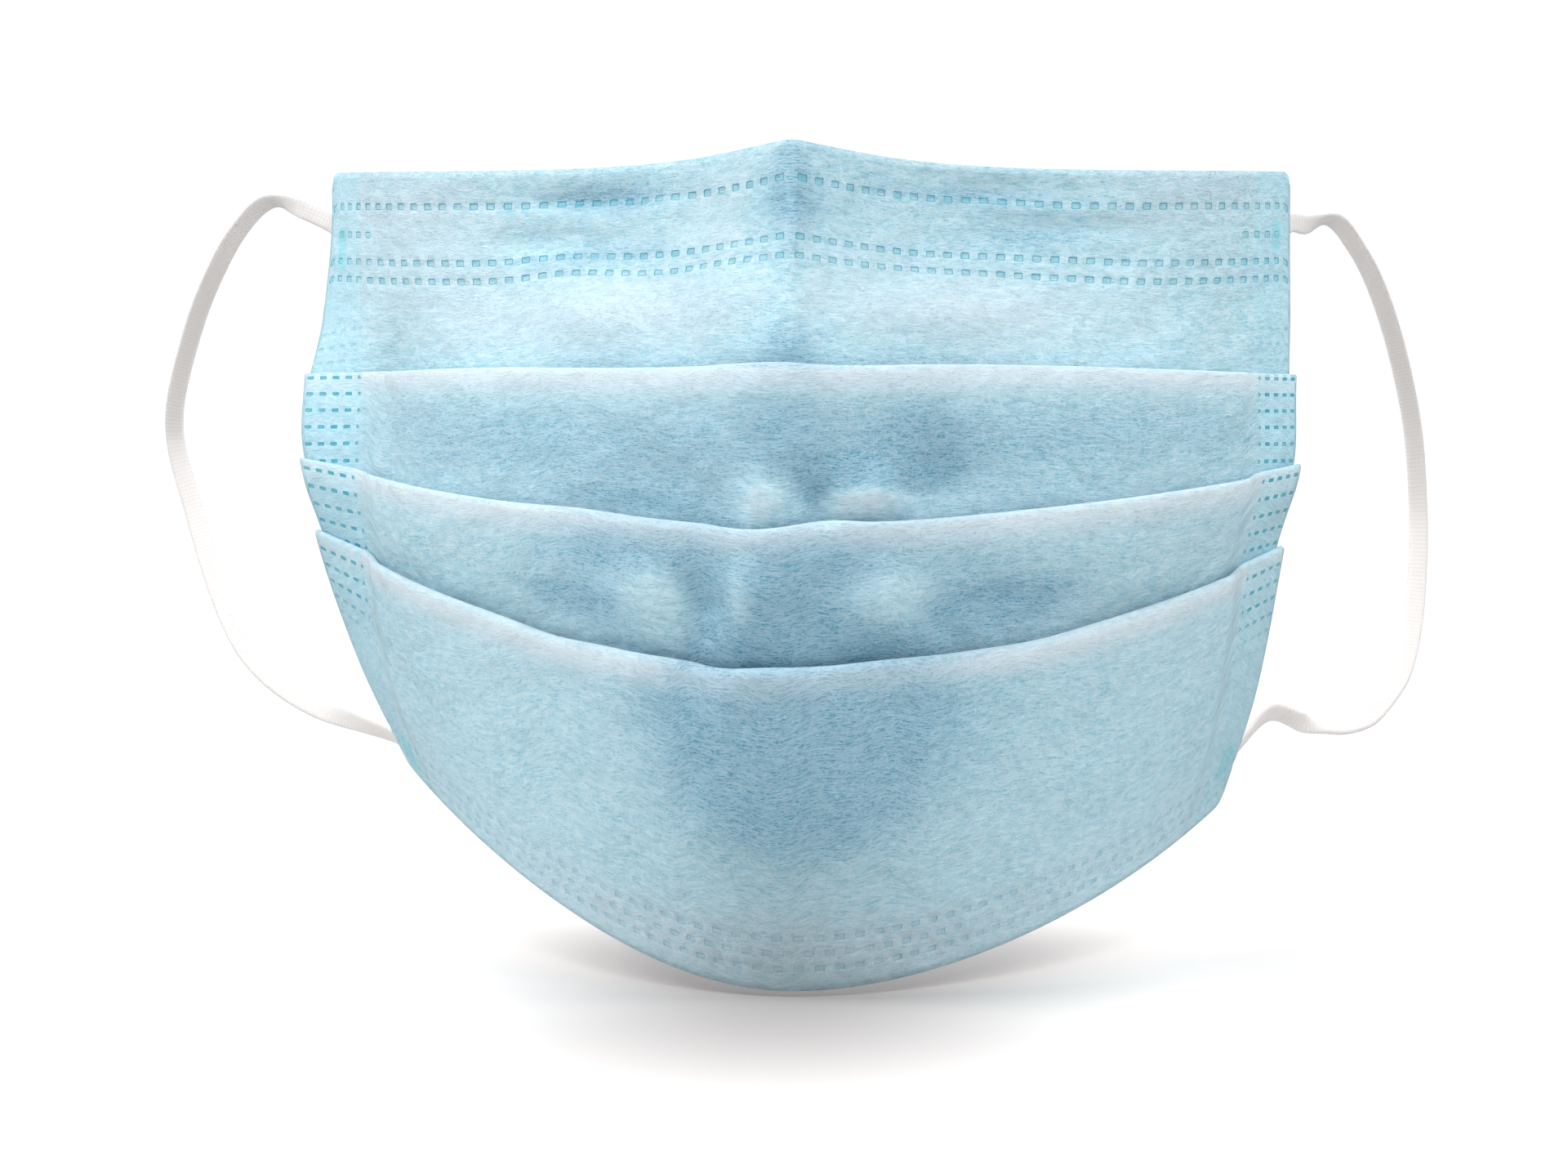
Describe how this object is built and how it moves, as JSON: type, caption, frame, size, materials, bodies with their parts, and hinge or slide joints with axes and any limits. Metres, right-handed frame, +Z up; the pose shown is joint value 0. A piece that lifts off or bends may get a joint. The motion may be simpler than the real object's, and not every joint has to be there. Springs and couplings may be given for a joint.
{
  "type": "surgical face mask",
  "caption": "Pleated disposable face mask in its worn form: one folded cloth sheet with hems and side welds, and flat elastic ear loops.",
  "frame": {"origin": "where the inside of the top hem sits on the bridge of the nose", "axes": "+X across the face to the right of someone looking at the mask's front, -Y forward, away from the face, +Z up"},
  "size_m": [0.1992, 0.1209, 0.1143],
  "materials": {
    "bonded_cloth": "pale blue nonwoven polypropylene, matte, with pressed weld dots",
    "elastic_band": "off-white knitted elastic, matte"
  },
  "bodies": {
    "root": {"pleated_sheet": "bonded_cloth", "ear_loop_left": "elastic_band", "ear_loop_right": "elastic_band"}
  },
  "joints": []
}
